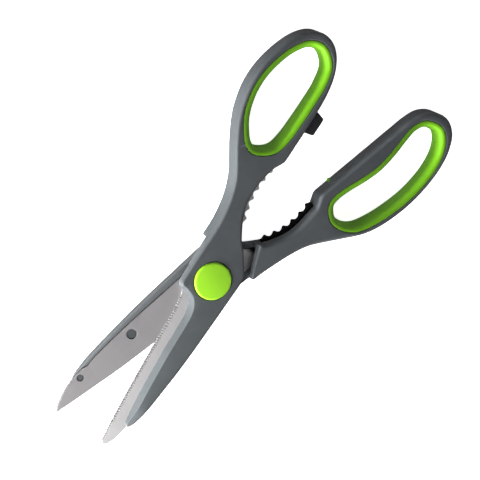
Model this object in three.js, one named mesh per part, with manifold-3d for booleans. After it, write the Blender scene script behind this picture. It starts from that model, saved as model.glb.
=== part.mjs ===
// Poultry shears: two overmoulded halves that turn on one pivot bolt.
// Units are millimetres. +Y runs from the pivot to the finger loops, -Y to the blade tips, and
// +Z is up as the shears lie flat. The origin is on the pivot axis, in the plane they lie on.
//
// Each half is drawn flat in a view of its own: seen from its outer face, with the blade tip down
// (-y), the spine on the right (+x) and z counted from the plane where the two halves meet to
// that outer face. The rear half is then turned over, so that its outer face looks down.
import * as THREE from 'three';
import { mergeVertices } from 'three/addons/utils/BufferGeometryUtils.js';
import Module from 'manifold-3d';

const wasm = await Module();
wasm.setup();

// ---- Driving dimensions ----
const FACE = 6.2;             // from the meeting plane to a handle's outer face
const GAP = 0.3;              // left between two pieces that touch
const REST_ANGLE = 8.25;      // degrees each half is turned open as the shears lie
const EDGE = 0.8;             // rounding along a handle's edges
const BLADE = 2;              // thickness of the steel
const BLADE_LOW = 0.15;       // the steel's inner face, from the meeting plane
const BLADE_HIGH = BLADE_LOW + BLADE;
const RIM_LOW = 1.2;          // lowest edge of the cover along a blade's spine
const RIM_START = 1;          // the spine's rim begins here, and the one by the heel lower down
const HEEL_RIM_START = -9;
const TIP_SLOPE = 17;         // degrees the cover slopes down towards the tip
const TIP_SLOPE_START = -70;
const BOSS_RECESS = 0.45;     // how far a boss stops short of the steel's inner face
const REACH = 30;             // cutters run this far, past every outline
const CAP_RADIUS = 9;
const CAP_PROUD = 1.2;        // how far the front cap stands out of the face
const CAP_LOW = 4.3;          // open end of a cap, from the meeting plane
const SHANK_RADIUS = 3;       // pivot bolt
const HEAD_RADIUS = 5;
const HEAD_LOW = 3.25;        // underside of the bolt's head and of the nut
const HEAD_HIGH = 5.15;
const GRIP_BULGE = 3.7;       // how far a loop's soft grip swells into the opening
const GRIP_LIP = 0.8;         // the grip's thickness at its edges
const CAP_WALL = 1.4;
const SLOT_WIDTH = 1.2;       // screwdriver slot in the bolt's head
const SLOT_DEPTH = 0.8;
const THREAD_PROUD = 0.35;    // how far the bolt's end stands out of the nut
const TOOTH_PITCH = 5;        // jaw teeth
const TOOTH_DEPTH = 1.5;
const TOOTH_COUNT = 6;

const SPLINE_STEPS = 3;       // straight steps between two points of a curve
const ROUND_STEPS = 40;       // sides of a round piece
const HOLE_STEPS = 20;        // and of a small hole or boss

// ---- Outlines, in each half's own view ----
const COVER_END = [[3.9, -79.4], [6.2, -80.2], [7.9, -76.5]];
const COVER_SPINE = [[9.1, -67], [10.3, -55], [11.3, -43], [12, -30], [12.5, -15],
  [12.9, -2], [13.1, 5.5]];
const COVER_FOOT = [[-8.3, -11.3], [-4.8, -12.7], [-2.4, -15.8], [-1.2, -20], [-0.8, -27], [-0.4, -38],
  [0.4, -50], [1.3, -61], [2.3, -70.5]];
const HEEL = [[-12.7, -8.4], [-11.3, -10.4]];
const SHOULDER = [[-3, 26.6], [-13, 13.3]];
const BLADE_HEEL = [-9.4, -9.6];
const BLADE_BACK = [[7.3, -76.8], [7.5, -74.5], [7.6, -72.3], [7.1, -69.3], [7.8, -64.5], [8.5, -55],
  [9, -43], [9.2, -28], [9.3, -10], [9.4, 5]];
const TANG_NECK = [[9, 8.8], [2.2, 18], [-1.4, 21.9], [-5.8, 29]];
const TANG_INSIDE = [[-7, 60.2], [-11.5, 58.6], [-13.8, 54.5], [-13.6, 46], [-12, 37], [-10.6, 28],
  [-9.9, 18], [-9.8, 2]];
const ANCHOR_HOLES = [{ x: 4.5, y: -44.5, radius: 2.5 }, { x: 5.1, y: -75.8, radius: 1.7 }];

const FRONT = {
  neck: [[12.3, 10], [4.8, 19.8], [1.4, 23.3]],
  jaw: [[-3.2, 30.8], [-5.2, 35], [-6.5, 39.5], [-7, 44.5], [-6.8, 50], [-6.1, 54.5], [-4.7, 60]],
  innerWall: [[-2.1, 64.5], [-2.1, 80]],
  loop: [[-2.4, 94], [-3.2, 103], [-5.2, 111], [-9.3, 118.5], [-14.5, 122.8], [-20.5, 124],
    [-26.5, 121.8], [-31.8, 115.5], [-35.6, 106.5], [-37.7, 97.5], [-38.2, 89], [-37.1, 80.5],
    [-34, 70.5], [-28.8, 60.8], [-24, 53.6], [-19.6, 47], [-16.8, 41], [-14.8, 34.5], [-13.5, 27],
    [-13, 20], [-12.9, 13]],
  loopHole: [[-19, 59.5], [-12.5, 62], [-8, 66.8], [-6.1, 74.5], [-5.6, 84], [-5.5, 94], [-5.9, 104],
    [-8.2, 113], [-13, 118], [-18.7, 120], [-25, 118], [-30.5, 111], [-34, 102], [-35.8, 92],
    [-35.2, 82], [-32, 72], [-27.3, 65], [-23.5, 61.2]],
  cuttingEdge: [[-7.7, -14.5], [-6.6, -20], [-5.7, -33], [-4.8, -46], [-3.8, -60], [-2.8, -72],
    [-1.7, -83], [-0.6, -91.4]],
  bladeTip: [[0.2, -92.4], [1.5, -92], [3.1, -89.8], [4.5, -86], [5.3, -82], [5.9, -78.5]],
  jawCentre: { x: 37.9, y: 48.5, radius: 42.2, firstTooth: -21.5 },
};

const REAR = {
  neck: [[12.3, 10], [4.2, 20.1], [0.5, 23.7]],
  jaw: [[-4.2, 30.6], [-6.3, 35], [-8, 40], [-8.8, 45], [-8.6, 51], [-8, 56], [-7.7, 59.6]],
  innerWall: [[-4.3, 64.9], [-6.1, 120]],
  loop: [[-7.3, 127], [-10.4, 132], [-14.5, 134.8], [-18.5, 135.8], [-23, 134.9], [-27.5, 132],
    [-31.5, 126.5], [-34.3, 119.5], [-36.4, 111.5], [-37.8, 102], [-38.2, 92], [-37.3, 81.5],
    [-34.8, 72], [-30, 62.8], [-25.8, 56], [-22, 49.8], [-19.2, 44.5], [-17.4, 38.5], [-16, 32],
    [-14.9, 25], [-14.1, 19], [-13.4, 13]],
  loopHole: [[-18.5, 60.5], [-13.5, 62.3], [-10, 65.6], [-9, 70.5], [-9.7, 78], [-11.3, 86],
    [-12.3, 95], [-11.3, 105], [-9.6, 113.5], [-8.8, 120], [-10.6, 126.3], [-14.8, 129.9],
    [-20, 131.3], [-25.3, 129.2], [-30, 124.3], [-33.3, 117.5], [-35.5, 109], [-36.5, 98],
    [-35.9, 87.5], [-34.2, 77.5], [-30.8, 68], [-25.5, 62.7]],
  cuttingEdge: [[-8.2, -14], [-7.3, -20], [-6.6, -33], [-5.8, -45], [-4.6, -59], [-3, -72],
    [-1.5, -84], [-0.4, -92]],
  bladeTip: [[0, -94.4], [1.4, -93], [3, -90.3], [4.9, -86], [6.3, -82], [6.9, -79]],
  jawCentre: { x: 30.9, y: 48.5, radius: 37.1, firstTooth: -24.3 },
};

// The closing stop on the front handle's inner wall, as a tapered block.
const STOP = { low: 81, high: 93, taper: 1.4, root: -3.7, out: 3.8, bottom: -3.4, top: 2.6 };

// The grip material's feed channel, which ends as a small disc on the rear handle's inner wall.
const RUNNER = { y: 74, z: 3.7, radius: 1.2, from: -11, to: -4.3 };

// ---- Looks ----
const HANDLE_GREY = { color: 0x45484b, roughness: 0.5, metalness: 0 };
const GRIP_GREEN = { color: 0x6cbf17, roughness: 0.55, metalness: 0 };
const CAP_GREEN = { color: 0x8fdc1e, roughness: 0.35, metalness: 0 };
const STEEL = { color: 0xb9b6b8, roughness: 0.35, metalness: 1 };
const BRIGHT_STEEL = { color: 0xc9cacc, roughness: 0.2, metalness: 1 };
const STOP_BLACK = { color: 0x1f2023, roughness: 0.75, metalness: 0 };

// ---- Drawing helpers ----
const asVectors = (points) => points.map(([x, y]) => new THREE.Vector2(x, y));

function addLines(path, points) {
  points.forEach(([x, y]) => path.lineTo(x, y));
}

function addCurve(path, points) {
  path.splineThru(asVectors(points));
}

// A closed smooth loop through the points.
function closedCurve(points) {
  const curve = new THREE.CatmullRomCurve3(points.map(([x, y]) => new THREE.Vector3(x, y, 0)), true);
  const around = curve.getPoints(points.length * SPLINE_STEPS).slice(0, -1);
  return around.map((p) => new THREE.Vector2(p.x, p.y));
}

// Moves an anticlockwise outline outwards by a distance, or inwards where it is negative.
function grow(outline, distance) {
  return outline.map((point, i) => {
    const before = outline[(i + outline.length - 1) % outline.length];
    const after = outline[(i + 1) % outline.length];
    const along = after.clone().sub(before).normalize();
    return new THREE.Vector2(point.x + along.y * distance, point.y - along.x * distance);
  });
}

// ---- Solid helpers ----
function toSolid(geometry) {
  geometry.deleteAttribute('normal');
  geometry.deleteAttribute('uv');
  const merged = mergeVertices(geometry, 1e-4);
  return new wasm.Manifold(new wasm.Mesh({
    numProp: 3,
    vertProperties: new Float32Array(merged.attributes.position.array),
    triVerts: new Uint32Array(merged.index.array),
  }));
}

// An outline pulled up between two heights, with rounded edges where `edge` isn't zero.
function slab(outline, low, high, edge = 0) {
  const geometry = new THREE.ExtrudeGeometry(new THREE.Shape(outline), {
    depth: high - low - 2 * edge,
    bevelEnabled: edge > 0,
    bevelThickness: edge,
    bevelSize: edge,
    bevelOffset: -edge,
    bevelSegments: 2,
  });
  geometry.translate(0, 0, low + edge);
  return toSolid(geometry);
}

function disc(radius, low, high, x = 0, y = 0, sides = ROUND_STEPS) {
  const geometry = new THREE.CylinderGeometry(radius, radius, high - low, sides);
  geometry.rotateX(Math.PI / 2);
  geometry.translate(x, y, (low + high) / 2);
  return toSolid(geometry);
}

function block(low, high) {
  const size = high.map((value, i) => value - low[i]);
  const geometry = new THREE.BoxGeometry(...size);
  geometry.translate(...low.map((value, i) => value + size[i] / 2));
  return toSolid(geometry);
}

// A round piece turned about the pivot axis from a profile of radius and height.
function turned(profile) {
  const geometry = new THREE.LatheGeometry(asVectors(profile), ROUND_STEPS);
  geometry.rotateX(Math.PI / 2);
  return toSolid(geometry);
}

function namedMesh(name, solid, look) {
  const { vertProperties, triVerts } = solid.getMesh();
  const geometry = new THREE.BufferGeometry();
  geometry.setAttribute('position', new THREE.BufferAttribute(new Float32Array(vertProperties), 3));
  geometry.setIndex(new THREE.BufferAttribute(new Uint32Array(triVerts), 1));
  geometry.computeVertexNormals();
  const mesh = new THREE.Mesh(geometry, new THREE.MeshStandardMaterial(look));
  mesh.name = name;
  return mesh;
}

// ---- Blades ----
// The jaw teeth lie on an arc: each one is a flat-topped scallop.
function jawTeeth({ x, y, radius, firstTooth }) {
  const pitch = TOOTH_PITCH / radius;
  const first = THREE.MathUtils.degToRad(firstTooth);
  const at = (angle, reach) => [x - reach * Math.cos(angle), y + reach * Math.sin(angle)];
  const points = [];
  for (let tooth = 0; tooth < TOOTH_COUNT; tooth += 1) {
    const middle = first + tooth * pitch;
    points.push(at(middle - pitch * 0.5, radius + TOOTH_DEPTH));
    points.push(at(middle - pitch * 0.12, radius));
    points.push(at(middle + pitch * 0.12, radius));
  }
  return points;
}

function bladeOutline(half) {
  const path = new THREE.Path();
  path.moveTo(...BLADE_HEEL);
  addCurve(path, half.cuttingEdge);
  addCurve(path, half.bladeTip);
  addCurve(path, BLADE_BACK);
  addLines(path, TANG_NECK);
  addLines(path, jawTeeth(half.jawCentre));
  addLines(path, TANG_INSIDE);
  return path.getPoints(SPLINE_STEPS);
}

function blade(half) {
  const holes = ANCHOR_HOLES.map(({ x, y, radius }) => disc(radius, -1, FACE, x, y, HOLE_STEPS));
  const pivotHole = disc(SHANK_RADIUS + GAP, -1, FACE);
  return [pivotHole, ...holes].reduce(
    (steel, hole) => steel.subtract(hole),
    slab(bladeOutline(half), BLADE_LOW, BLADE_HIGH),
  );
}

// ---- Handles ----
function handleOutline(half) {
  const path = new THREE.Path();
  const [footEnd, tip, spineEnd] = COVER_END;
  path.moveTo(...spineEnd);
  addCurve(path, COVER_SPINE);
  addLines(path, half.neck);
  addCurve(path, half.jaw);
  addLines(path, half.innerWall);
  addCurve(path, half.loop);
  addLines(path, HEEL);
  addCurve(path, COVER_FOOT);
  addLines(path, [footEnd, tip]);
  return path.getPoints(SPLINE_STEPS);
}

// Beyond the shoulder, towards the tips, a half keeps to its own side of the meeting plane.
function farSideCutter() {
  const [[innerX, innerY], [outerX, outerY]] = SHOULDER;
  const slope = (innerY - outerY) / (innerX - outerX);
  const outline = asVectors([[-REACH, innerY - slope * (innerX + REACH)], [-REACH, -100],
    [REACH, -100], [REACH, innerY], [innerX, innerY]]);
  return slab(outline, -FACE - 1, BLADE_LOW);
}

// The cover stops short of the blade's inner face along the spine, and slopes down to the tip.
function coverRimCutter() {
  return block([-REACH, -100, -1], [REACH, HEEL_RIM_START, RIM_LOW])
    .add(block([0, HEEL_RIM_START - 1, -1], [REACH, RIM_START, RIM_LOW]));
}

function tipSlopeCutter() {
  const geometry = new THREE.BoxGeometry(REACH, REACH, REACH);
  geometry.translate(0, -REACH / 2, REACH / 2);
  geometry.rotateX(THREE.MathUtils.degToRad(TIP_SLOPE));
  geometry.translate(0, TIP_SLOPE_START, FACE);
  return toSolid(geometry);
}

// Room for the cap, with a narrower well down to the steel for the washer and the nut or head.
function pivotRecess() {
  return disc(CAP_RADIUS + GAP, CAP_LOW - GAP, FACE + 1).add(disc(HEAD_RADIUS + 1, BLADE_LOW, CAP_LOW));
}

// Bosses of the cover fill the holes in the blade and stop short of its inner face.
function anchorBosses() {
  const low = BLADE_LOW + BOSS_RECESS;
  return ANCHOR_HOLES.map(({ x, y, radius }) => disc(radius - GAP, low, BLADE_HIGH + 1, x, y, HOLE_STEPS));
}

function handle(half) {
  const pocket = slab(grow(bladeOutline(half), GAP), BLADE_LOW - GAP, BLADE_HIGH + GAP);
  const opening = slab(closedCurve(half.loopHole), -FACE - 1, FACE + 1);
  const cutters = [farSideCutter(), coverRimCutter(), tipSlopeCutter(), opening, pocket, pivotRecess()];
  const body = cutters.reduce(
    (solid, cutter) => solid.subtract(cutter),
    slab(handleOutline(half), -FACE, FACE, EDGE),
  );
  return anchorBosses().reduce((solid, boss) => solid.add(boss), body);
}

// A tapered block on the inner wall of the front handle: `margin` enlarges it for its socket.
function stopBlock(margin) {
  const { low, high, taper, root, out, bottom, top } = STOP;
  const outline = asVectors([[root - margin, low - margin], [-2, low - margin], [out, low + taper],
    [out, high - taper], [-2, high + margin], [root - margin, high + margin]]);
  return slab(outline, bottom - margin, top + margin);
}

function frontHandle() {
  return handle(FRONT).subtract(stopBlock(GAP));
}

function runner(margin) {
  const { y, z, radius, from, to } = RUNNER;
  const length = to - from + 2 * margin;
  const geometry = new THREE.CylinderGeometry(radius + margin, radius + margin, length, HOLE_STEPS);
  geometry.rotateZ(Math.PI / 2);
  geometry.translate((from + to) / 2, y, z);
  return toSolid(geometry);
}

function rearHandle() {
  return handle(REAR).subtract(runner(GAP));
}

// ---- Soft grips lining the finger loops ----
// Rings around the opening, from one face to the other, swell inwards like a flattened ellipse.
function loopGrip(half) {
  const outside = grow(closedCurve(half.loopHole), -GAP);
  const levels = 8;
  const rings = [{ outline: outside, z: FACE - 0.1 }, { outline: outside, z: 0.1 - FACE }];
  for (let level = 0; level <= levels; level += 1) {
    const angle = (level / levels - 0.5) * Math.PI;
    const thickness = GRIP_LIP + (GRIP_BULGE - GRIP_LIP) * Math.cos(angle);
    rings.push({ outline: grow(outside, -thickness), z: (FACE - 0.1) * Math.sin(angle) });
  }
  const count = outside.length;
  const positions = rings.flatMap(({ outline, z }) => outline.flatMap((p) => [p.x, p.y, z]));
  const faces = [];
  for (let ring = 0; ring < rings.length; ring += 1) {
    for (let i = 0; i < count; i += 1) {
      const here = ring * count;
      const next = ((ring + 1) % rings.length) * count;
      const j = (i + 1) % count;
      faces.push(here + i, next + i, here + j, here + j, next + i, next + j);
    }
  }
  const geometry = new THREE.BufferGeometry();
  geometry.setAttribute('position', new THREE.BufferAttribute(new Float32Array(positions), 3));
  geometry.setIndex(faces);
  return toSolid(geometry);
}

// The feed channel is one with the rear grip.
function rearLoopGrip() {
  return loopGrip(REAR).add(runner(0));
}

// ---- Pivot ----
function cap(top, plate, dome) {
  const inner = CAP_RADIUS - CAP_WALL;
  return turned([[0, top - plate], [inner, top - plate], [inner, CAP_LOW], [CAP_RADIUS, CAP_LOW],
    [CAP_RADIUS, top - dome], [CAP_RADIUS - dome, top - dome * 0.3], [CAP_RADIUS - 2 * dome, top], [0, top]]);
}

function frontCap() {
  return cap(FACE + CAP_PROUD, 1.5, 0.8);
}

function rearCap() {
  return cap(FACE, 0.7, 0.3);
}

function washer() {
  return disc(HEAD_RADIUS + 0.5, BLADE_HIGH + GAP, HEAD_LOW - GAP)
    .subtract(disc(SHANK_RADIUS + GAP, 0, HEAD_HIGH));
}

// The head sits in the rear half and the shank ends above the nut in the front half.
function pivotBolt() {
  const across = HEAD_RADIUS + 1;
  const side = SLOT_WIDTH / 2;
  const slot = block([-across, -side, HEAD_HIGH - SLOT_DEPTH], [across, side, HEAD_HIGH + 1]);
  const shank = disc(SHANK_RADIUS, -(HEAD_HIGH + THREAD_PROUD), HEAD_LOW + 0.5);
  return disc(HEAD_RADIUS, HEAD_LOW, HEAD_HIGH).add(shank).subtract(slot);
}

function pivotNut() {
  return disc(HEAD_RADIUS, HEAD_LOW, HEAD_HIGH, 0, 0, 6).subtract(disc(SHANK_RADIUS + GAP, 0, FACE));
}

// ---- Assembly ----
// A holder turned over about Y, for the pieces drawn in the rear half's own view.
function turnedOver(...meshes) {
  const holder = new THREE.Group();
  holder.rotation.y = Math.PI;
  holder.add(...meshes);
  return holder;
}

function frontHalf() {
  const half = new THREE.Group();
  half.rotation.z = THREE.MathUtils.degToRad(REST_ANGLE);
  half.add(
    namedMesh('front_blade', blade(FRONT), STEEL),
    namedMesh('front_handle', frontHandle(), HANDLE_GREY),
    namedMesh('front_loop_grip', loopGrip(FRONT), GRIP_GREEN),
    namedMesh('closing_stop', stopBlock(0), STOP_BLACK),
    namedMesh('front_pivot_cap', frontCap(), CAP_GREEN),
    namedMesh('spring_washer', washer(), BRIGHT_STEEL),
    namedMesh('pivot_nut', pivotNut(), BRIGHT_STEEL),
    turnedOver(namedMesh('pivot_bolt', pivotBolt(), BRIGHT_STEEL)),
  );
  return half;
}

function rearHalf() {
  const half = new THREE.Group();
  half.rotation.z = THREE.MathUtils.degToRad(-REST_ANGLE);
  half.add(turnedOver(
    namedMesh('rear_blade', blade(REAR), STEEL),
    namedMesh('rear_handle', rearHandle(), HANDLE_GREY),
    namedMesh('rear_loop_grip', rearLoopGrip(), GRIP_GREEN),
    namedMesh('rear_pivot_cap', rearCap(), CAP_GREEN),
    namedMesh('head_washer', washer(), BRIGHT_STEEL),
  ));
  return half;
}

const shears = new THREE.Group();
shears.position.z = FACE;
shears.add(frontHalf(), rearHalf());

export default shears;
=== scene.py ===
import math

import bmesh
import bpy
import numpy as np
from mathutils import Matrix, Vector
from mathutils.geometry import delaunay_2d_cdt


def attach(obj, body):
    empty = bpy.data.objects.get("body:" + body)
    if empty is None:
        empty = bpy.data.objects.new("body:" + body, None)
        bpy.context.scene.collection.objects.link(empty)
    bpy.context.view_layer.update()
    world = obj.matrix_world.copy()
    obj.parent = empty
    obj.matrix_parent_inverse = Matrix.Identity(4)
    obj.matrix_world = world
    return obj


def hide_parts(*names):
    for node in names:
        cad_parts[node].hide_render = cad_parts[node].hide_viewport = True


# Poultry shears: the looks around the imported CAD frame. Each half is drawn in millimetres, flat, in
# its own view: blade tip towards -y, spine towards +x, and w counted from the plane where the halves
# meet to that half's outer face. placed() turns a view into the shared frame, in metres.

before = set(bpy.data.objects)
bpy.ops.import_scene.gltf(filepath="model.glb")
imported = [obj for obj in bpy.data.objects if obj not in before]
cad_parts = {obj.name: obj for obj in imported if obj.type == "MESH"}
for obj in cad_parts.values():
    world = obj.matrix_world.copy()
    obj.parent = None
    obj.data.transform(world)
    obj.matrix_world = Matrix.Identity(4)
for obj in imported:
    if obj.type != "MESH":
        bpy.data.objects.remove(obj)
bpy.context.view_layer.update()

# ---- Sizes shared with the CAD part, in millimetres and degrees ----
FACE = 6.2                # outer face of a half, from the plane where the halves meet
REST_ANGLE = 8.25         # each half's turn away from closed
BLADE_LOW = 0.15
BLADE_HIGH = 2.15
RIM_LOW = 1.2             # the cover's rim along the blade
RIM_START = 1.0           # it starts below this y
CAP_RADIUS = 9.0
CAP_LOW = 4.3
CAP_TOP = 7.4
CAP_WALL = 1.4
SHANK_RADIUS = 3.0
HEAD_RADIUS = 5.0
GRIP_BULGE = 3.7
TOOTH_PITCH = 5.0
TOOTH_DEPTH = 1.5
TOOTH_COUNT = 6
TIP_SLOPE = 17            # of the outer face towards the cover's end
TIP_SLOPE_START = -70
BOSS_RECESS = 0.45        # of the bosses that fill the anchor holes

# ---- Outlines ----
COVER_END = [(3.9, -79.4), (6.2, -80.2), (7.9, -76.5)]
COVER_SPINE = [(9.1, -67), (10.3, -55), (11.3, -43), (12, -30), (12.5, -15), (12.9, -2), (13.1, 5.5)]
COVER_FOOT = [(-8.3, -11.3), (-4.8, -12.7), (-2.4, -15.8), (-1.2, -20), (-0.8, -27), (-0.4, -38),
              (0.4, -50), (1.3, -61), (2.3, -70.5)]
HEEL = [(-12.7, -8.4), (-11.3, -10.4)]
SHOULDER = [(-3.0, 26.6), (-13.0, 13.3)]
BLADE_BACK = [(7.3, -76.8), (7.5, -74.5), (7.6, -72.3), (7.1, -69.3), (7.8, -64.5), (8.5, -55), (9, -43),
              (9.2, -28), (9.3, -10), (9.4, 5)]
ANCHOR_HOLES = [(4.5, -44.5, 2.5), (5.1, -75.8, 1.7)]
BLADE_HEEL = (-9.4, -9.6)
TANG_NECK = [(9, 8.8), (2.2, 18), (-1.4, 21.9), (-5.8, 29)]
TANG_INSIDE = [(-7, 60.2), (-11.5, 58.6), (-13.8, 54.5), (-13.6, 46), (-12, 37), (-10.6, 28),
               (-9.9, 18), (-9.8, 2)]

FRONT = {
    "name": "front",
    "neck": [(12.3, 10), (4.8, 19.8), (1.4, 23.3)],
    "jaw": [(-3.2, 30.8), (-5.2, 35), (-6.5, 39.5), (-7, 44.5), (-6.8, 50), (-6.1, 54.5), (-4.7, 60)],
    "inner": [(-2.1, 64.5), (-2.1, 80)],
    "loop": [(-2.4, 94), (-3.2, 103), (-5.2, 111), (-9.3, 118.5), (-14.5, 122.8), (-20.5, 124),
             (-26.5, 121.8), (-31.8, 115.5), (-35.6, 106.5), (-37.7, 97.5), (-38.2, 89), (-37.1, 80.5),
             (-34, 70.5), (-28.8, 60.8), (-24, 53.6), (-19.6, 47), (-16.8, 41), (-14.8, 34.5),
             (-13.5, 27), (-13, 20), (-12.9, 13)],
    "hole": [(-19, 59.5), (-12.5, 62), (-8, 66.8), (-6.1, 74.5), (-5.6, 84), (-5.5, 94), (-5.9, 104),
             (-8.2, 113), (-13, 118), (-18.7, 120), (-25, 118), (-30.5, 111), (-34, 102), (-35.8, 92),
             (-35.2, 82), (-32, 72), (-27.3, 65), (-23.5, 61.2)],
    "edge": [(-7.7, -14.5), (-6.6, -20), (-5.7, -33), (-4.8, -46), (-3.8, -60), (-2.8, -72),
             (-1.7, -83), (-0.6, -91.4)],
    "tip": [(0.2, -92.4), (1.5, -92), (3.1, -89.8), (4.5, -86), (5.3, -82), (5.9, -78.5)],
    "jaw_centre": (37.9, 48.5, 42.2, -21.5),
}
REAR = {
    "name": "rear",
    "neck": [(12.3, 10), (4.2, 20.1), (0.5, 23.7)],
    "jaw": [(-4.2, 30.6), (-6.3, 35), (-8, 40), (-8.8, 45), (-8.6, 51), (-8, 56), (-7.7, 59.6)],
    "inner": [(-4.3, 64.9), (-6.1, 120)],
    "loop": [(-7.3, 127), (-10.4, 132), (-14.5, 134.8), (-18.5, 135.8), (-23, 134.9), (-27.5, 132),
             (-31.5, 126.5), (-34.3, 119.5), (-36.4, 111.5), (-37.8, 102), (-38.2, 92), (-37.3, 81.5),
             (-34.8, 72), (-30, 62.8), (-25.8, 56), (-22, 49.8), (-19.2, 44.5), (-17.4, 38.5), (-16, 32),
             (-14.9, 25), (-14.1, 19), (-13.4, 13)],
    "hole": [(-18.5, 60.5), (-13.5, 62.3), (-10, 65.6), (-9, 70.5), (-9.7, 78), (-11.3, 86),
             (-12.3, 95), (-11.3, 105), (-9.6, 113.5), (-8.8, 120), (-10.6, 126.3), (-14.8, 129.9),
             (-20, 131.3), (-25.3, 129.2), (-30, 124.3), (-33.3, 117.5), (-35.5, 109), (-36.5, 98),
             (-35.9, 87.5), (-34.2, 77.5), (-30.8, 68), (-25.5, 62.7)],
    "edge": [(-8.2, -14), (-7.3, -20), (-6.6, -33), (-5.8, -45), (-4.6, -59), (-3, -72),
             (-1.5, -84), (-0.4, -92)],
    "tip": [(0, -94.4), (1.4, -93), (3, -90.3), (4.9, -86), (6.3, -82), (6.9, -79)],
    "jaw_centre": (30.9, 48.5, 37.1, -24.3),
}
STOP = {"low": 81, "high": 93, "taper": 1.4, "root": -3.7, "waist": -2, "out": 3.8,
        "bottom": -3.4, "top": 2.6}
# The feed channel's end: a small dome on the rear handle's inner wall.
RUNNER = {"y": 74.0, "z": 3.7, "radius": 1.2, "to": -4.3, "dome": 0.7, "edge": 1.05, "behind": -6.1}
RUNNER_CUT = (-6.2, -3)

# ---- Sizes of the looks, in millimetres unless said otherwise ----
SPACING = 0.9             # between two points of an outline
POCKET_SPACING = 0.65     # the same, for the pocket that holds the steel
STEEL_SPACING = 0.325     # the same, for the steel
GAP = 0.15                # between two parts that don't touch
POCKET_GAP = 0.3          # around the steel
SHANK_GAP = 0.2           # around the bolt's shank
WELL_GAP = 1.0            # around the bolt's head
WELL_FLOOR = 0.1          # the well for the head ends this far below the cap
FILLET_STEPS = 5
# Rounding of a handle's edges along each stretch of its outline: (outer face, inner face).
FILLETS = {"spine": (1.5, 0.3), "neck": (1.3, 1.2), "jaw": (1.8, 2.2), "inner": (1.3, 1.4),
           "loop": (1.3, 1.9), "heel": (1.0, 0.3), "foot": (1.0, 0.3), "end": (0.8, 0.3),
           "shoulder": (1.0, 1.0)}
# Edge shapes from the flat to the wall: (share of the inset, share of the drop).
ROUND = [(1 - math.sin(a), 1 - math.cos(a)) for a in np.linspace(0, math.pi / 2, FILLET_STEPS + 1)]
SLOPE = [(1, 0), (0.86, 0.03), (0.74, 0.13), (0.48, 0.46), (0.1, 0.92), (0, 1)]
FOOT_SLOPE = 2.2          # width of the sloping band beside the steel
TIP_SLOPE_BLEND = 1.5     # how softly the outer face turns into its slope at the cover's end
TIGHTEST_BEND = 0.7       # an inset stays below this share of the bend's own radius
HOLE_EDGE = 0.5           # rounding around the finger opening
LEAST_LAND = 0.3          # flat that is left between a rounding and the finger opening
RIM_STEP = 0.9            # length of the step up to the cover's rim
RIM_HIGH_FROM = 0.9       # the wall's foot is raised below this y
RIM_EDGE = 0.3            # rounding along the cover's rim
RIM_FADE = 4              # points over which that rounding fades in
SHOULDER_CORNER = 5       # points before its corner where the shoulder's line leaves the outline
# How an opening widens towards a face: (growth, depth).
HOLE_PROFILE = [(HOLE_EDGE, 0), (0.2, 0.1), (0.05, 0.3), (0, 0.6)]
RECESS_PROFILE = [(0.3, 0), (0.1, 0.1), (0, 0.3), (0, FACE - CAP_LOW + 0.3)]
RECESS_RADIUS = CAP_RADIUS + 0.3
BOSS_EDGE = 0.3
STEEL_CHAMFER = 0.12
GROUND_CHAMFER = 0.03     # the same, along the ground edge
STEEL_HOLE_CHAMFER = 0.15
GROUND_FROM = 12          # points from the heel to the ground edge
GROUND_FADES = (0.03, 0.05)     # the share of it that fades in and out
EDGE_BEVEL = 0.1          # width of the ground edge
EDGE_LAND = 0.2           # height of the steel left below it
SERRATION = 0.9           # depth of the fine teeth along the front blade
SERRATION_SPAN = (0.02, 0.86)   # the share of the edge that has them
SERRATION_POINTS = 4      # points of the outline to one tooth
TOOTH_TIP = 0.07          # flat share on each side of a jaw tooth's middle
WALL_STEEPNESS = 0.35     # faces of the steel with a normal less upright than this are cut sides
JAW_SHADE_START = 21.0          # painted shade: the rear jaw's steel is made nearly black past here, for the shade under the handle's jaw wall
GRIP_LIP = 0.95           # thickness of a grip at the handle's faces
GRIP_ROUND = 0.25         # how far it bulges out past the CAD's
GRIP_LEVELS = 22
GRIP_GAP = 0.12           # between a grip and the handle
GRIP_INSET = 0.1          # of a grip's ends from the handle's faces
STOP_BEVEL = 0.7
# An edge that turns by more than this many degrees is shaded as an edge.
HANDLE_SHARP, STEEL_SHARP, GRIP_SHARP, STOP_SHARP, CAP_SHARP = 32, 9, 50, 40, 35

# ---- Sizes of the studio, in metres ----
FLOOR_HALF = 3
FLOOR_FLAT = 1.8          # radius within which it is flat
FLOOR_CURVE = 0.9         # its rise beyond that, per square metre
FLOOR_DROP = 0.0001       # below the shears, which lie on it
CAMERA_TARGET = (-0.000694, 0.02299, 0.0062)
CAMERA_RIGHT = (0.6887, 0.6544, 0.3120)
CAMERA_UP = (-0.6114, 0.7556, -0.2351)
CAMERA_DISTANCE = 0.85
CAMERA_LENS = 135.8       # millimetres, on a sensor 36 wide
# Name, place, target, width and height, watts, and if shiny surfaces reflect it.
LAMPS = [
    ("near_tips", (-0.06, -0.22, 0.12), (-0.02, -0.04, 0), (0.16, 0.1), 1.6, False),
    ("front", (-0.1, -0.6, 0.5), (0, -0.03, 0), (0.6, 0.5), 3.2, False),
    ("low_left", (-0.35, -0.75, 0.05), (0, 0.03, 0.005), (0.5, 0.06), 40, False),
    ("low_front", (-0.12, -0.85, 0.05), (0, 0.03, 0.005), (0.5, 0.06), 14, False),
    ("low_right", (0.4, -0.9, 0.3), (0, 0, 0), (0.9, 0.5), 4, False),
    ("overhead", (0.5, 0.05, 1.1), (0, 0, 0), (0.6, 0.8), 0.36, True),
]


# ---- Curves ----
def vectors(points):
    return [np.array(p, float) for p in points]


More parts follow.
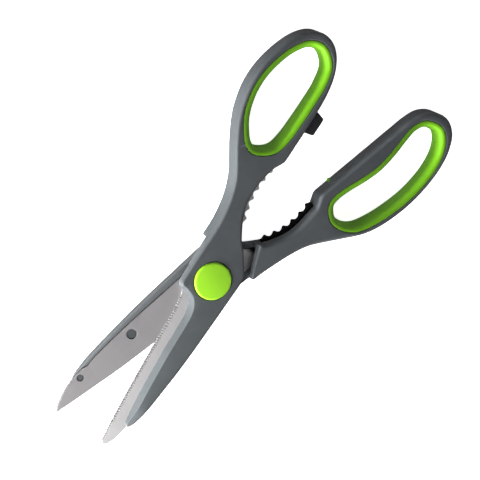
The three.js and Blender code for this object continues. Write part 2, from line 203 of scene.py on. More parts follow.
def hermite(a, b, slope_a, slope_b, t):
    t2, t3 = t * t, t * t * t
    return ((2 * t3 - 3 * t2 + 1) * a + (t3 - 2 * t2 + t) * slope_a
            + (3 * t2 - 2 * t3) * b + (t3 - t2) * slope_b)


def span(a, b, slope_a, slope_b, spacing):
    """The stretch from a up to b, without b."""
    count = max(1, math.ceil(np.linalg.norm(b - a) / spacing))
    return [hermite(a, b, slope_a, slope_b, i / count) for i in range(count)]


def open_curve(points, spacing=SPACING):
    """A smooth line through the points, without the last one."""
    p = vectors(points)
    p = [p[0]] + p + [p[-1]]
    line = []
    for i in range(1, len(p) - 2):
        line += span(p[i], p[i + 1], (p[i + 1] - p[i - 1]) / 2, (p[i + 2] - p[i]) / 2, spacing)
    return line


def straight(points, spacing=SPACING):
    p = vectors(points)
    line = []
    for a, b in zip(p, p[1:]):
        line += span(a, b, b - a, b - a, spacing)
    return line


def closed_curve(points, spacing=SPACING):
    """A smooth ring through the points, as three.js draws a closed centripetal curve."""
    p = vectors(points)
    n = len(p)
    ring = []
    for i in range(n):
        a, b, c, d = p[i - 1], p[i], p[(i + 1) % n], p[(i + 2) % n]
        s0, s1, s2 = (math.sqrt(np.linalg.norm(v)) for v in (b - a, c - b, d - c))
        slope_b = ((b - a) / s0 - (c - a) / (s0 + s1) + (c - b) / s1) * s1
        slope_c = ((c - b) / s1 - (d - b) / (s1 + s2) + (d - c) / s2) * s1
        ring += span(b, c, slope_b, slope_c, spacing)
    return np.array(ring)


def circle(radius, count, x=0.0, y=0.0):
    angles = np.linspace(0, 2 * math.pi, count, endpoint=False)
    return np.stack([x + radius * np.cos(angles), y + radius * np.sin(angles)], 1)


def outward(ring, limit=1.5):
    """At each point of an anticlockwise ring, the step outwards that moves both its sides by 1."""
    ahead = np.roll(ring, -1, 0) - ring
    ahead /= np.linalg.norm(ahead, axis=1)[:, None]
    normal = np.stack([ahead[:, 1], -ahead[:, 0]], 1)
    before = np.roll(normal, 1, 0)
    total = normal + before
    scale = 1 / np.maximum(1 + (normal * before).sum(1), 1e-3)
    step = total * scale[:, None]
    length = np.linalg.norm(step, axis=1)
    return step * np.minimum(1, limit / length)[:, None]


def softened(values, passes):
    for _ in range(passes):
        values = (np.roll(values, 1, 0) + 2 * values + np.roll(values, -1, 0)) / 4
    return values


def roomy(radius, ring, hole=None):
    """The wanted inset at each point of a ring, made smaller in tight bends and beside a hole."""
    ahead = np.roll(ring, -1, 0) - ring
    back = ring - np.roll(ring, 1, 0)
    turn = np.arctan2(back[:, 0] * ahead[:, 1] - back[:, 1] * ahead[:, 0], (back * ahead).sum(1))
    length = (np.linalg.norm(ahead, axis=1) + np.linalg.norm(back, axis=1)) / 2
    room = TIGHTEST_BEND * length / np.maximum(softened(turn, 1), 1e-3)
    if hole is not None:
        apart = np.linalg.norm(ring[:, None] - hole[None], axis=2).min(1)
        room = np.minimum(room, np.maximum(apart - HOLE_EDGE - LEAST_LAND, 0.2))
    radius = np.minimum(radius, room)
    lowest = np.minimum(np.roll(radius, 1), np.roll(radius, -1))
    return np.minimum(softened(np.minimum(radius, lowest), 3), room)


# ---- Mesh helpers ----
class Solid:
    """Collects the points and faces of one closed mesh."""

    def __init__(self):
        self.points = []
        self.faces = []

    def ring(self, outline, heights):
        first = len(self.points)
        heights = np.broadcast_to(heights, len(outline))
        self.points += [(x, y, w) for (x, y), w in zip(outline, heights)]
        return list(range(first, len(self.points)))

    def wall(self, upper, lower):
        n = len(upper)
        for i in range(n):
            j = (i + 1) % n
            self.faces.append((lower[i], lower[j], upper[j], upper[i]))

    def walls(self, rings):
        for upper, lower in zip(rings, rings[1:]):
            self.wall(upper, lower)

    def ladder(self, outlines, heights):
        """Rings one below the other, with walls between them."""
        rings = [self.ring(outline, w) for outline, w in zip(outlines, heights)]
        self.walls(rings)
        return rings

    def fill(self, border, holes=(), lines=()):
        """Flat or gently bent face inside one ring and outside the others."""
        rings = [border, *holes]
        ids = list(dict.fromkeys(v for group in [*rings, *lines] for v in group))
        place = {v: i for i, v in enumerate(ids)}
        flat = [Vector(self.points[v][:2]) for v in ids]
        edges = []
        for ring in rings:
            edges += [(place[a], place[b]) for a, b in zip(ring, ring[1:] + ring[:1])]
        edges += [(place[a], place[b]) for a, b in lines]
        loops = [[place[v] for v in border]]
        out = delaunay_2d_cdt(flat, edges, loops, 1, 1e-6)
        origins = [source[0] if source else None for source in out[3]]
        if None in origins:
            raise ValueError("an outline crosses itself")
        gaps = [np.array([self.points[v][:2] for v in ring]) for ring in holes]
        for face in out[2]:
            middle = sum((out[0][v] for v in face), Vector((0, 0))) / len(face)
            if not any(inside(gap, middle) for gap in gaps):
                self.faces.append(tuple(ids[origins[v]] for v in face))

    def mesh(self):
        bm = bmesh.new()
        verts = [bm.verts.new(p) for p in self.points]
        for face in self.faces:
            bm.faces.new([verts[v] for v in face])
        bmesh.ops.remove_doubles(bm, verts=bm.verts, dist=1e-3)
        bmesh.ops.dissolve_degenerate(bm, edges=bm.edges, dist=1e-4)
        bmesh.ops.recalc_face_normals(bm, faces=bm.faces)
        return bm


def inside(ring, point):
    x, y = point
    x0, y0 = ring[:, 0], ring[:, 1]
    x1, y1 = np.roll(x0, -1), np.roll(y0, -1)
    crossing = (y0 > y) != (y1 > y)
    with np.errstate(divide="ignore", invalid="ignore"):
        at = x0 + (y - y0) * (x1 - x0) / (y1 - y0)
    return bool(np.count_nonzero(crossing & (at > x)) % 2)


def placed(half):
    """From a half's own view, in millimetres, to the row frame, in metres."""
    turn = Matrix.Rotation(math.radians(REST_ANGLE), 4, "Z")
    if half is REAR:
        turn = Matrix.Rotation(-math.radians(REST_ANGLE), 4, "Z") @ Matrix.Rotation(math.pi, 4, "Y")
    return Matrix.Scale(0.001, 4) @ Matrix.Translation((0, 0, FACE)) @ turn


def to_object(name, bm, half):
    bm.transform(placed(half))
    mesh = bpy.data.meshes.new(name)
    bm.to_mesh(mesh)
    bm.free()
    piece = bpy.data.objects.new(name, mesh)
    bpy.context.scene.collection.objects.link(piece)
    return piece


def cut(piece, cutters, operation="DIFFERENCE"):
    """Cuts the cutters from the piece, or joins them to it, and removes them."""
    for cutter in cutters:
        modifier = piece.modifiers.new("cut", "BOOLEAN")
        modifier.operation = operation
        modifier.solver = "EXACT"
        modifier.object = cutter
    bake(piece)
    for cutter in cutters:
        bpy.data.objects.remove(cutter)


def bake(piece):
    """Applies the piece's modifiers to its mesh."""
    bpy.context.view_layer.update()
    graph = bpy.context.evaluated_depsgraph_get()
    mesh = bpy.data.meshes.new_from_object(piece.evaluated_get(graph))
    piece.modifiers.clear()
    piece.data = mesh


def shade(piece, sharp_angle):
    """Smooth shading, with edges sharper than the angle kept."""
    piece.data.shade_smooth()
    piece.data.set_sharp_from_angle(angle=math.radians(sharp_angle))
    modifier = piece.modifiers.new("normals", "WEIGHTED_NORMAL")
    modifier.keep_sharp = True
    bake(piece)


def finish_piece(piece, half, material, node):
    """Gives the piece its material and puts it on its half, in place of a CAD node."""
    piece.data.materials.clear()
    piece.data.materials.append(material)
    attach(piece, half["name"] + "_half")
    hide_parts(node)
    return piece


# ---- Handles ----
def handle_outline(half):
    """Points of the outline, anticlockwise from the spine's end, and the stretch each is on."""
    foot_end, tip, spine_end = COVER_END
    stretches = [
        ("spine", open_curve([spine_end] + COVER_SPINE)),
        ("neck", straight([COVER_SPINE[-1]] + half["neck"])),
        ("jaw", open_curve([half["neck"][-1]] + half["jaw"])),
        ("inner", straight([half["jaw"][-1]] + half["inner"])),
        ("loop", open_curve([half["inner"][-1]] + half["loop"])),
        ("heel", straight([half["loop"][-1]] + HEEL)),
        ("foot", open_curve([HEEL[-1]] + COVER_FOOT) + straight([COVER_FOOT[-1], foot_end])),
        ("end", straight([foot_end, tip, spine_end])),
    ]
    points = np.array([p for _, line in stretches for p in line])
    labels = [label for label, line in stretches for _ in line]
    return softened(points, 2), labels


def snap_to(points, labels, where, allowed):
    """Moves the nearest point to where the outline passes through where(p) = 0, and returns its index."""
    values = np.array([where(p) for p in points])
    for i in range(len(points)):
        j = (i + 1) % len(points)
        if labels[i] in allowed and values[i] * values[j] <= 0:
            share = values[i] / (values[i] - values[j])
            nearest = i if share < 0.5 else j
            points[nearest] = points[i] + (points[j] - points[i]) * share
            return nearest
    raise ValueError("the outline doesn't pass there")


def cover_height(y):
    """Height of the outer face, which slopes down towards the cover's end."""
    share = (TIP_SLOPE_START - y) / TIP_SLOPE_BLEND
    beyond = TIP_SLOPE_BLEND * np.log1p(np.exp(np.clip(share, -30, 30)))
    return FACE - math.tan(math.radians(TIP_SLOPE)) * beyond


def shoulder_ends(points, labels):
    """The outline's points where the shoulder starts at the neck, ends, and has its corner."""
    (inner_x, inner_y), (outer_x, outer_y) = SHOULDER
    slope = (inner_y - outer_y) / (inner_x - outer_x)

    def off_shoulder(p):
        return p[1] - inner_y - slope * (p[0] - inner_x)

    start = snap_to(points, labels, off_shoulder, ("neck", "jaw"))
    corner = snap_to(points, labels, off_shoulder, ("loop", "heel"))
    return start, corner - SHOULDER_CORNER, corner


def rim_steps(points, labels):
    """The two lines across the cover between which its rim steps up."""
    steps = []
    for y in (RIM_START, RIM_START - RIM_STEP):
        far = snap_to(points, labels, lambda p: p[1] - y, ("loop", "heel", "foot"))
        near = snap_to(points, labels, lambda p: p[1] - y, ("spine",))
        steps.append((far, near))
    return steps


def outer_edge(solid, points, labels, hole):
    """Rings from the outer face to the wall: round, and a straight slope along the cover's foot."""
    step = outward(points)
    on_foot = softened(np.array([label == "foot" for label in labels], float), 3)
    radius = softened(np.array([FILLETS[label][0] for label in labels]), 8)
    radius = roomy(radius, points, hole)
    height = cover_height(points[:, 1]) - BLADE_HIGH
    slope_width = FOOT_SLOPE * height / (FACE - BLADE_HIGH)
    rings = []
    for (inset, drop), (slope_inset, slope_drop) in zip(ROUND, SLOPE):
        move = (1 - on_foot) * inset * radius + on_foot * slope_inset * slope_width
        fall = (1 - on_foot) * drop * radius + on_foot * slope_drop * height
        outline = points - step * move[:, None]
        rings.append(solid.ring(outline, cover_height(outline[:, 1]) - fall))
    return rings


def rim_edge(solid, points, start, end, corner):
    """Rings at the wall's foot, which is higher and slightly rounded along the cover."""
    index = np.arange(len(points))
    on_cover = (index < start) | (index > end)
    low = np.where(on_cover & (points[:, 1] < RIM_HIGH_FROM), RIM_LOW, BLADE_LOW)
    radius = np.where((index > corner) | (index < start), RIM_EDGE, 0.0)
    for place in (corner, start):
        radius = radius * np.minimum(1, np.abs(index - place) / RIM_FADE)
    inset = outward(points) * radius[:, None]
    return [solid.ring(points, low + radius), solid.ring(points - inset, low)]


def finger_opening(solid, hole):
    step = outward(hole)
    levels = [(grow, FACE - depth) for grow, depth in HOLE_PROFILE]
    levels += [(grow, depth - FACE) for grow, depth in reversed(HOLE_PROFILE)]
    return solid.ladder([hole + step * grow for grow, _ in levels], [w for _, w in levels])


def cap_recess(solid):
    outlines = [circle(RECESS_RADIUS + grow, 96) for grow, _ in RECESS_PROFILE]
    rings = solid.ladder(outlines, [FACE - depth for _, depth in RECESS_PROFILE])
    solid.faces.append(tuple(rings[-1]))
    return rings


def shoulder_line(points, start, end, corner):
    """From one end of the shoulder round its soft corner up to the other, without the ends."""
    sharp, first, last = points[corner], points[end], points[start]
    reach = np.linalg.norm(sharp - first)
    leave = sharp + (last - sharp) / np.linalg.norm(last - sharp) * reach
    bend = [first * (1 - t) ** 2 + 2 * sharp * t * (1 - t) + leave * t * t
            for t in np.linspace(0, 1, 13)[1:-1]]
    return bend + straight([leave, last])


def inner_edge(solid, outline, labels, hole):
    """Rings that round the wall into the inner face."""
    radius = softened(np.array([FILLETS[label][1] for label in labels]), 6)
    radius = roomy(radius, outline, hole)
    step = outward(outline)
    rings = []
    for inset, drop in reversed(ROUND):
        rings.append(solid.ring(outline - step * (inset * radius)[:, None], drop * radius - FACE))
    return rings


def handle_shell(half):
    """A handle with its cover as one solid, before the steel's pocket is cut from it."""
    points, labels = handle_outline(half)
    start, end, corner = shoulder_ends(points, labels)
    steps = rim_steps(points, labels)
    hole = closed_curve(half["hole"])
    solid = Solid()
    rings = outer_edge(solid, points, labels, hole) + rim_edge(solid, points, start, end, corner)
    solid.walls(rings)
    opening = finger_opening(solid, hole)
    recess = cap_recess(solid)
    solid.fill(rings[0], [opening[0], recess[0]])

    # The inner side: full thickness up to the shoulder, then only as far as the meeting plane.
    rim = rings[-1]
    line = shoulder_line(points, start, end, corner)
    shoulder = solid.ring(line, BLADE_LOW)
    cover_side = rim[end:] + rim[:start + 1]
    solid.fill(cover_side + shoulder[::-1], [], [(rim[far], rim[near]) for far, near in steps])
    outline = np.concatenate([points[start:end + 1], np.array(line)])
    outline_labels = labels[start:end + 1] + ["shoulder"] * len(line)
    lower = [rim[start:end + 1] + shoulder] + inner_edge(solid, outline, outline_labels, hole)
    solid.walls(lower)
    solid.fill(lower[-1], [opening[-1]])
    return solid.mesh()


def prism(outline, low, high):
    solid = Solid()
    upper = solid.ring(outline, high)
    lower = solid.ring(outline, low)
    solid.wall(upper, lower)
    solid.faces += [tuple(upper), tuple(lower)]
    return solid.mesh()


def rounded_disc(radius, low, high, edge, count=48, x=0.0, y=0.0):
    """A disc with a rounded edge at its lower end."""
    solid = Solid()
    rings = [solid.ring(circle(radius, count, x, y), high)]
    for inset, drop in reversed(ROUND):
        rings.append(solid.ring(circle(radius - inset * edge, count, x, y), low + drop * edge))
    solid.walls(rings)
    solid.faces += [tuple(rings[0]), tuple(rings[-1])]
    return solid.mesh()


def cross_bar(radius, start, end, edge):
    """A round bar along x where the feed channel is, with its end rounded by `edge`."""
    bm = rounded_disc(radius, 0, abs(end - start), edge, 32)
    place = Matrix.Translation((end, RUNNER["y"], RUNNER["z"]))
    bm.transform(place @ Matrix.Rotation(-math.pi / 2, 4, "Y"))
    return bm


def anchor_boss(half, x, y, radius):
    """The cover's plastic inside one of the steel's anchor holes."""
    bm = rounded_disc(radius - GAP, BLADE_LOW + BOSS_RECESS, BLADE_HIGH + 1, BOSS_EDGE, 40, x, y)
    return to_object("boss", bm, half)


def handle(half, material):
    piece = to_object(half["name"] + "_handle_shell", handle_shell(half), half)
    pocket = blade_outline(half, POCKET_SPACING)
    pocket = pocket + outward(pocket) * POCKET_GAP
    well = circle(HEAD_RADIUS + WELL_GAP, 48)
    cutters = [
        to_object("cut_pocket", prism(pocket, -1, BLADE_HIGH + GAP), half),
        to_object("cut_well", prism(well, 0, CAP_LOW - WELL_FLOOR), half),
    ]
    if half is REAR:
        bar = cross_bar(RUNNER["radius"] + GAP, *RUNNER_CUT, 1e-3)
        cutters.append(to_object("cut_runner", bar, half))
    cut(piece, cutters)
    cut(piece, [anchor_boss(half, *hole) for hole in ANCHOR_HOLES], "UNION")
    shade(piece, HANDLE_SHARP)
    return finish_piece(piece, half, material, half["name"] + "_handle")


# ---- Blades ----
def jaw_teeth(half, per_tooth=14):
    """Rounded teeth along the jaw's arc, from the pivot outwards."""
    x, y, radius, first = half["jaw_centre"]
    pitch = TOOTH_PITCH / radius
    points = []
    for tooth in range(TOOTH_COUNT):
        for i in range(per_tooth):
            phase = i / per_tooth - 0.5
            fall = min(1, max(0, (abs(phase) - TOOTH_TIP) / (0.5 - TOOTH_TIP)))
            reach = radius + TOOTH_DEPTH * math.sin(fall * math.pi / 2)
            angle = math.radians(first) + (tooth + phase) * pitch
            points.append((x - reach * math.cos(angle), y + reach * math.sin(angle)))
    return points


def blade_outline(half, spacing):
    """The steel's outline, anticlockwise from the blade's heel."""
    teeth = jaw_teeth(half)
    line = open_curve([BLADE_HEEL] + half["edge"], spacing)
    line += open_curve([half["edge"][-1]] + half["tip"], spacing)
    line += open_curve([half["tip"][-1]] + BLADE_BACK, spacing)
    line += straight([BLADE_BACK[-1]] + TANG_NECK + [teeth[0]], spacing)
    line += vectors(teeth[:-1])
    line += straight([teeth[-1]] + TANG_INSIDE + [BLADE_HEEL], spacing)
    return np.array(line)


def blade_rings(solid, half, serrated):
    """Rings from the steel's outer side to its inner side, with a bevel along the ground edge."""
    outline = blade_outline(half, STEEL_SPACING)
    step = outward(outline)
    index = np.arange(len(outline))
    tip_index = len(open_curve([BLADE_HEEL] + half["edge"], STEEL_SPACING))

    # along goes from 0 at the heel to 1 at the tip, and ground is 1 where the edge is ground.
    along = (index - GROUND_FROM) / (tip_index - GROUND_FROM)
    fade_in, fade_out = GROUND_FADES
    ground = np.clip(along / fade_in, 0, 1) * np.clip((1 - along) / fade_out, 0, 1)
    edge = outline
    if serrated:
        notched = (along > SERRATION_SPAN[0]) & (along < SERRATION_SPAN[1])
        notched &= index % SERRATION_POINTS < SERRATION_POINTS / 2
        edge = outline - step * np.where(notched, SERRATION, 0)[:, None]
    chamfer = STEEL_CHAMFER - (STEEL_CHAMFER - GROUND_CHAMFER) * ground
    side_high = (1 - ground) * (BLADE_HIGH - chamfer) + ground * (BLADE_LOW + EDGE_LAND)
    outlines = [edge - step * (chamfer + ground * EDGE_BEVEL)[:, None],
                outline, outline, outline - step * chamfer[:, None]]
    return solid.ladder(outlines, [BLADE_HIGH, side_high, BLADE_LOW + chamfer, BLADE_LOW])


def steel_hole(solid, x, y, radius):
    widened = radius + STEEL_HOLE_CHAMFER
    outlines = [circle(size, 48, x, y) for size in (widened, radius, radius, widened)]
    heights = [BLADE_HIGH, BLADE_HIGH - STEEL_HOLE_CHAMFER, BLADE_LOW + STEEL_HOLE_CHAMFER, BLADE_LOW]
    return solid.ladder(outlines, heights)


def blade(half, material, cut_material, serrated):
    """One half's steel, with another material on its cut sides."""
    solid = Solid()
    rings = blade_rings(solid, half, serrated)
    holes = [steel_hole(solid, *hole) for hole in ANCHOR_HOLES + [(0.0, 0.0, SHANK_RADIUS + SHANK_GAP)]]
    solid.fill(rings[0], [hole[0] for hole in holes])
    solid.fill(rings[-1], [hole[-1] for hole in holes])
    piece = to_object(half["name"] + "_blade_steel", solid.mesh(), half)
    shade(piece, STEEL_SHARP)
    finish_piece(piece, half, material, half["name"] + "_blade")
    # The cut sides take the second material, whose darker colour is painted shade.
    piece.data.materials.append(cut_material)
    for polygon in piece.data.polygons:
        polygon.material_index = int(abs(polygon.normal.z) < WALL_STEEPNESS)
    return piece


# ---- Grips ----
def grip_section():
    """(thickness, w) round a grip's section: thin at the handle's faces and bulging between them."""
    top = FACE - GRIP_INSET
    section = [(GRIP_GAP, 0.3 - top), (GRIP_GAP, top - 0.3), (0.2, top - 0.1), (0.4, top)]
    for level in range(GRIP_LEVELS + 1):
        angle = (0.5 - level / GRIP_LEVELS) * math.pi
        bulge = max(0, math.cos(angle)) ** 0.9
        thickness = GRIP_LIP + (GRIP_BULGE - GRIP_LIP + GRIP_ROUND) * bulge
        section.append((thickness, (top - 0.03) * math.sin(angle)))
    return section + [(0.4, -top), (0.2, 0.1 - top)]


def add_to(bm, other):
    mesh = bpy.data.meshes.new("added")
    other.to_mesh(mesh)
    other.free()
    bm.from_mesh(mesh)
    bpy.data.meshes.remove(mesh)


def loop_grip(half, material):
    outside = closed_curve(half["hole"])
    step = outward(outside)
    solid = Solid()
    rings = [solid.ring(outside - step * inset, w) for inset, w in grip_section()]
    solid.walls(rings + rings[:1])
    bm = solid.mesh()
    if half is REAR:
        add_to(bm, cross_bar(RUNNER["radius"], RUNNER["behind"], RUNNER["to"] + RUNNER["dome"],
                             RUNNER["edge"]))
    piece = to_object(half["name"] + "_soft_grip", bm, half)
    shade(piece, GRIP_SHARP)
    return finish_piece(piece, half, material, half["name"] + "_loop_grip")


# ---- Closing stop ----
def closing_stop(material):
    low, high, taper = STOP["low"], STOP["high"], STOP["taper"]
    root, waist, out = STOP["root"], STOP["waist"], STOP["out"]
    outline = np.array([(root, low), (waist, low), (out, low + taper),
                        (out, high - taper), (waist, high), (root, high)], float)
    bm = prism(outline, STOP["bottom"], STOP["top"])
    edges = [e for e in bm.edges if e.calc_length() > 1]
    bmesh.ops.bevel(bm, geom=edges, offset=STOP_BEVEL, segments=4, profile=0.5, affect="EDGES",
                    clamp_overlap=True)
    piece = to_object("closing_stop_block", bm, FRONT)
    shade(piece, STOP_SHARP)
    return finish_piece(piece, FRONT, material, "closing_stop")


# ---- Pivot ----
def lathe(name, section, half, count=96):
    """A closed section of (radius, w) turned about the pivot axis."""
    solid = Solid()
    rings = solid.ladder([circle(radius, count) for radius, _ in section], [w for _, w in section])
    solid.faces += [tuple(rings[0]), tuple(rings[-1])]
    return to_object(name, solid.mesh(), half)


def cap(half, material, top, dome, edge):
    """A hollow cap: its top is `dome` higher in the middle, and its edge is rounded by `edge`."""
    flat = CAP_RADIUS - edge
    inner = CAP_RADIUS - CAP_WALL
    rim = top - dome
    section = [(flat * i / 12, top - dome * (i / 12) ** 2) for i in range(1, 13)]
    for i in range(1, 9):
        angle = i / 8 * math.pi / 2
        section.append((flat + edge * math.sin(angle), rim - edge * (1 - math.cos(angle))))
    section += [(CAP_RADIUS, CAP_LOW + 0.2), (CAP_RADIUS - 0.2, CAP_LOW), (inner, CAP_LOW),
                (inner, rim - CAP_WALL)]
    piece = lathe(half["name"] + "_cap_button", section, half)
    shade(piece, CAP_SHARP)
    return finish_piece(piece, half, material, half["name"] + "_pivot_cap")


# ---- Materials ----
def new_material(name):
    material = bpy.data.materials.new(name)
    material.use_nodes = True
    nodes = material.node_tree.nodes
    return material, nodes, material.node_tree.links, nodes["Principled BSDF"]


def noise(nodes, links, scale, detail=3.0, stretch=None, rough=0.55):
    """Noise over the object, in bumps per metre, stretched along an axis where asked."""
    place = nodes.new("ShaderNodeTexCoord")
    texture = nodes.new("ShaderNodeTexNoise")
    texture.inputs["Scale"].default_value = scale
    texture.inputs["Detail"].default_value = detail
    texture.inputs["Roughness"].default_value = rough
    source = place.outputs["Object"]
    if stretch:
        mapping = nodes.new("ShaderNodeMapping")
        mapping.inputs["Rotation"].default_value = (0, 0, stretch[0])
        mapping.inputs["Scale"].default_value = stretch[1]
        links.new(source, mapping.inputs["Vector"])
        source = mapping.outputs["Vector"]
    links.new(source, texture.inputs["Vector"])
    return texture.outputs["Fac"]


def ramp(nodes, links, source, low, high, start=0.35, end=0.65):
    """The source's range turned into numbers from low to high."""
    node = nodes.new("ShaderNodeMapRange")
    node.inputs["From Min"].default_value = start
    node.inputs["From Max"].default_value = end
    node.inputs["To Min"].default_value = low
    node.inputs["To Max"].default_value = high
    links.new(source, node.inputs["Value"])
    return node.outputs["Result"]


def colours(nodes, links, source, stops):
    node = nodes.new("ShaderNodeValToRGB")
    elements = node.color_ramp.elements
    while len(elements) < len(stops):
        elements.new(0.5)
    for element, (position, colour) in zip(elements, stops):
        element.position = position
        element.color = (*colour, 1)
    links.new(source, node.inputs["Fac"])
    return node.outputs["Color"]


def mix(nodes, links, share, a, colour):
    """From the colour at a to a plain colour, by a share from 0 to 1."""
    node = nodes.new("ShaderNodeMix")
    node.data_type = "RGBA"
    links.new(share, node.inputs["Factor"])
    links.new(a, node.inputs[6])
    node.inputs[7].default_value = (*colour, 1)
    return node.outputs[2]


def bump(nodes, links, shader, source, strength, distance):
    node = nodes.new("ShaderNodeBump")
    node.inputs["Strength"].default_value = strength
    node.inputs["Distance"].default_value = distance
    links.new(source, node.inputs["Height"])
    links.new(node.outputs["Normal"], shader.inputs["Normal"])


def worn_edges(nodes, links):
    """0 on flat faces, up to 1 on outward edges."""
    geometry = nodes.new("ShaderNodeNewGeometry")
    return ramp(nodes, links, geometry.outputs["Pointiness"], 0, 1, 0.52, 0.62)


def painted_shade_past(nodes, links, base, painted_shade_from):
    """Painted shade: nearly black past a height along y, in millimetres, for the shade under the rear
    handle's jaw wall.
    """
    place = nodes.new("ShaderNodeTexCoord")
    axes = nodes.new("ShaderNodeSeparateXYZ")
    links.new(place.outputs["Object"], axes.inputs[0])
    start = painted_shade_from * 0.001
    past = ramp(nodes, links, axes.outputs["Y"], 0, 1, start, start + 0.002)
    return mix(nodes, links, past, base, (0.02, 0.02, 0.02))


def moulded_plastic(name, dark, light, worn, roughness, grain):
    """Satin moulded plastic: cloudy colour, fine grain, and edges rubbed lighter."""
    material, nodes, links, shader = new_material(name)
    cloud = noise(nodes, links, 60, 4)
    base = colours(nodes, links, cloud, [(0.3, dark), (0.7, light)])
    colour = mix(nodes, links, worn_edges(nodes, links), base, worn)
    links.new(colour, shader.inputs["Base Color"])
    links.new(ramp(nodes, links, noise(nodes, links, 150, 5), *roughness), shader.inputs["Roughness"])
    bump(nodes, links, shader, noise(nodes, links, 2600, 2), grain, 0.00004)
    shader.inputs["Specular IOR Level"].default_value = 0.45
    return material


def brushed_steel(name, dark, light, roughness, angle, metallic, painted_shade_from=None):
    """Satin steel: hairlines along the blade, faint smears and bright worn edges."""
    material, nodes, links, shader = new_material(name)
    hair = noise(nodes, links, 4000, 2, (angle, (1, 0.02, 1)))
    smear = noise(nodes, links, 70, 4, (angle, (1, 0.4, 1)))
    base = colours(nodes, links, smear, [(0.3, dark), (0.7, light)])
    base = mix(nodes, links, worn_edges(nodes, links), base, (0.85, 0.84, 0.84))
    # Painted shade: nearly black past the given height along y, for the shade on the rear jaw.
    if painted_shade_from is not None:
        base = painted_shade_past(nodes, links, base, painted_shade_from)
    links.new(base, shader.inputs["Base Color"])
    links.new(ramp(nodes, links, hair, *roughness), shader.inputs["Roughness"])
    bump(nodes, links, shader, hair, 0.25, 0.00002)
    shader.inputs["Metallic"].default_value = metallic
    return material


def soft_rubber(name, dark, light, roughness):
    """Matt rubber with a cloudy colour and a fine grain."""
    material, nodes, links, shader = new_material(name)
    cloud = noise(nodes, links, 80, 4)
    base = colours(nodes, links, cloud, [(0.3, dark), (0.7, light)])
    links.new(base, shader.inputs["Base Color"])
    links.new(ramp(nodes, links, noise(nodes, links, 220, 4), *roughness), shader.inputs["Roughness"])
    bump(nodes, links, shader, noise(nodes, links, 3200, 2), 0.25, 0.00003)
    shader.inputs["Specular IOR Level"].default_value = 0.4
    return material


def handle_plastic():
    dark, light, worn = (0.037, 0.041, 0.044), (0.046, 0.051, 0.054), (0.10, 0.105, 0.11)
    return moulded_plastic("handle_plastic", dark, light, worn, (0.52, 0.64), 0.35)


def cap_plastic():
    dark, light, worn = (0.145, 0.33, 0.011), (0.165, 0.36, 0.014), (0.36, 0.66, 0.08)
    return moulded_plastic("cap_plastic", dark, light, worn, (0.30, 0.40), 0.12)


def grip_rubber():
    return soft_rubber("grip_rubber", (0.072, 0.20, 0.004), (0.088, 0.235, 0.006), (0.45, 0.6))


def stop_rubber():
    return soft_rubber("stop_rubber", (0.010, 0.010, 0.012), (0.016, 0.016, 0.018), (0.6, 0.75))


def front_blade_steel():
    return brushed_steel("front_blade_steel", (0.66, 0.635, 0.635), (0.73, 0.705, 0.705),
                         (0.42, 0.52), -math.radians(REST_ANGLE), 0.8)


def rear_blade_steel():
    # Its jaw is painted nearly black past a height: painted shade, not the steel's own colour.
    return brushed_steel("rear_blade_steel", (0.54, 0.50, 0.53), (0.62, 0.58, 0.61),
                         (0.34, 0.46), math.radians(REST_ANGLE), 0.88, JAW_SHADE_START)


def cut_steel_and_shade(name, painted_shade_from=None):
    """The smoother sides where the steel was cut out; their darker colour is painted shade, for the dark
    line of shadow beside the front blade's edge.
    """
    return brushed_steel(name, (0.40, 0.38, 0.39), (0.50, 0.48, 0.49), (0.10, 0.16), 0, 0.9, painted_shade_from)


def pivot_steel():
    return brushed_steel("pivot_steel", (0.62, 0.62, 0.62), (0.74, 0.74, 0.74), (0.2, 0.32), 0, 0.9)


# ---- Light, camera, floor ----
def area_light(name, place, target, size, power, glare):
    lamp = bpy.data.lights.new(name, "AREA")
    lamp.shape = "RECTANGLE"
    lamp.size, lamp.size_y = size
    lamp.energy = power
    holder = bpy.data.objects.new(name, lamp)
    holder.location = place
    aim = Vector(target) - Vector(place)
    holder.rotation_euler = aim.to_track_quat("-Z", "Y").to_euler()
    holder.visible_camera = False
    holder.visible_glossy = glare
    bpy.context.scene.collection.objects.link(holder)


def camera():
    right = Vector(CAMERA_RIGHT)
    back = right.cross(Vector(CAMERA_UP)).normalized()
    up = back.cross(right).normalized()
    turn = Matrix((right.normalized(), up, back)).transposed().to_4x4()
    holder = bpy.data.objects.new("camera", bpy.data.cameras.new("camera"))
    holder.data.lens = CAMERA_LENS
    holder.data.sensor_width = 36
    holder.data.clip_start = 0.05
    holder.matrix_world = Matrix.Translation(Vector(CAMERA_TARGET) + back * CAMERA_DISTANCE) @ turn
    bpy.context.scene.collection.objects.link(holder)
    bpy.context.scene.camera = holder


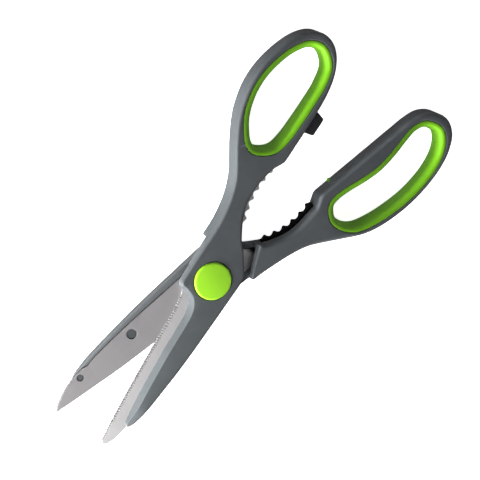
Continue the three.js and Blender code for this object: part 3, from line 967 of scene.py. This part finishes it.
def floor_paper():
    material, nodes, links, shader = new_material("floor_paper")
    stops = [(0.3, (0.9, 0.9, 0.9)), (0.7, (0.94, 0.94, 0.94))]
    base = colours(nodes, links, noise(nodes, links, 3, 2), stops)
    links.new(base, shader.inputs["Base Color"])
    shader.inputs["Roughness"].default_value = 0.9
    shader.inputs["Emission Color"].default_value = (1, 1, 1, 1)
    shader.inputs["Emission Strength"].default_value = 0.9
    return material


def floor():
    """Pale paper, flat under the shears and curving up all round them."""
    bm = bmesh.new()
    bmesh.ops.create_grid(bm, x_segments=48, y_segments=48, size=FLOOR_HALF)
    for vert in bm.verts:
        beyond = max(0, vert.co.xy.length - FLOOR_FLAT)
        vert.co.z = FLOOR_CURVE * beyond ** 2 - FLOOR_DROP
    mesh = bpy.data.meshes.new("floor")
    bm.to_mesh(mesh)
    bm.free()
    mesh.materials.append(floor_paper())
    plane = bpy.data.objects.new("floor", mesh)
    plane.visible_glossy = False
    bpy.context.scene.collection.objects.link(plane)


def studio():
    world = bpy.data.worlds.new("studio")
    world.use_nodes = True
    background = world.node_tree.nodes["Background"]
    background.inputs["Color"].default_value = (1, 1, 1, 1)
    background.inputs["Strength"].default_value = 0.03
    bpy.context.scene.world = world
    bpy.context.scene.view_settings.view_transform = "Standard"
    for lamp in LAMPS:
        area_light(*lamp)


# ---- Build ----
def pivot_stack(material):
    """The bolt, nut and washers keep their CAD shapes."""
    for node in ("spring_washer", "pivot_nut", "pivot_bolt", "head_washer"):
        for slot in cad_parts[node].material_slots:
            slot.material = material


handle_grey = handle_plastic()
cap_green = cap_plastic()
grip_green = grip_rubber()
handle(FRONT, handle_grey)
handle(REAR, handle_grey)
# The cut sides' darker colour is painted shade for the dark line beside the front blade's edge.
blade(FRONT, front_blade_steel(), cut_steel_and_shade("cut_steel_and_shade"), True)
# The rear steel's jaw, sides included, is painted nearly black: painted shade under the handle's wall.
blade(REAR, rear_blade_steel(), cut_steel_and_shade("rear_cut_steel_and_shade", JAW_SHADE_START), False)
loop_grip(FRONT, grip_green)
loop_grip(REAR, grip_green)
closing_stop(stop_rubber())
cap(FRONT, cap_green, CAP_TOP, 0.25, 0.9)
cap(REAR, cap_green, FACE, 0.1, 0.3)
pivot_stack(pivot_steel())

floor()
studio()
camera()
